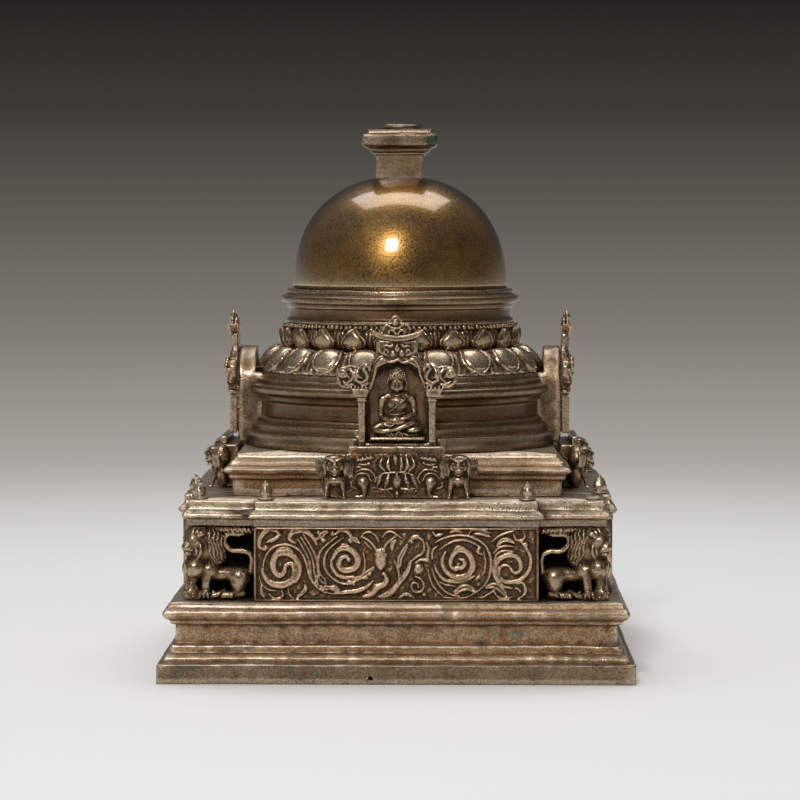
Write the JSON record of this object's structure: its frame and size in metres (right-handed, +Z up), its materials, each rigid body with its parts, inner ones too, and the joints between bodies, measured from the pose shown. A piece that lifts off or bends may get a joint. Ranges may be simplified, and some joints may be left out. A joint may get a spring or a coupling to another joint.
{
  "type": "model stupa",
  "caption": "Small cast bronze stupa: moulded plinth, openwork corner lions, terrace with bud finials, niches with seated figures, lotus rings, dome and square cap.",
  "frame": {"origin": "centre of the plinth's underside, on the surface the stupa stands on", "axes": "+Z up through the dome's centre; -Y is the pictured front; +X is to the viewer's right"},
  "size_m": [0.15, 0.15, 0.1765],
  "materials": {
    "storey_bronze": "worn cast bronze, dark in the recesses and bright on the edges",
    "figure_bronze": "rubbed cast bronze",
    "dome_bronze": "smooth olive brown patina, polished"
  },
  "bodies": {
    "root": {"corner_lions_back_left": "storey_bronze", "corner_lions_back_right": "storey_bronze", "corner_lions_front_left": "storey_bronze", "corner_lions_front_right": "storey_bronze", "dome": "dome_bronze", "dome_collar": "dome_bronze", "drum": "dome_bronze", "finial_back_left": "storey_bronze", "finial_back_right": "storey_bronze", "finial_corner_back_left": "storey_bronze", "finial_corner_back_right": "storey_bronze", "finial_corner_front_left": "storey_bronze", "finial_corner_front_right": "storey_bronze", "finial_front_left": "storey_bronze", "finial_front_right": "storey_bronze", "finial_left_left": "storey_bronze", "finial_left_right": "storey_bronze", "finial_right_left": "storey_bronze", "finial_right_right": "storey_bronze", "frieze_panel_back": "storey_bronze", "frieze_panel_front": "storey_bronze", "frieze_panel_left": "storey_bronze", "frieze_panel_right": "storey_bronze", "harmika_cap": "dome_bronze", "harmika_stem": "dome_bronze", "lotus_lower": "dome_bronze", "lotus_upper": "dome_bronze", "niche_facade_back": "storey_bronze", "niche_facade_front": "storey_bronze", "niche_facade_left": "storey_bronze", "niche_facade_right": "storey_bronze", "niche_housing_back": "storey_bronze", "niche_housing_front": "storey_bronze", "niche_housing_left": "storey_bronze", "niche_housing_right": "storey_bronze", "plinth": "storey_bronze", "seated_figure_back": "figure_bronze", "seated_figure_front": "figure_bronze", "seated_figure_left": "figure_bronze", "seated_figure_right": "figure_bronze", "spire_seat": "dome_bronze", "terrace": "storey_bronze", "throne_back": "storey_bronze", "throne_front": "storey_bronze", "throne_left": "storey_bronze", "throne_right": "storey_bronze", "throne_tier": "storey_bronze"}
  },
  "joints": []
}
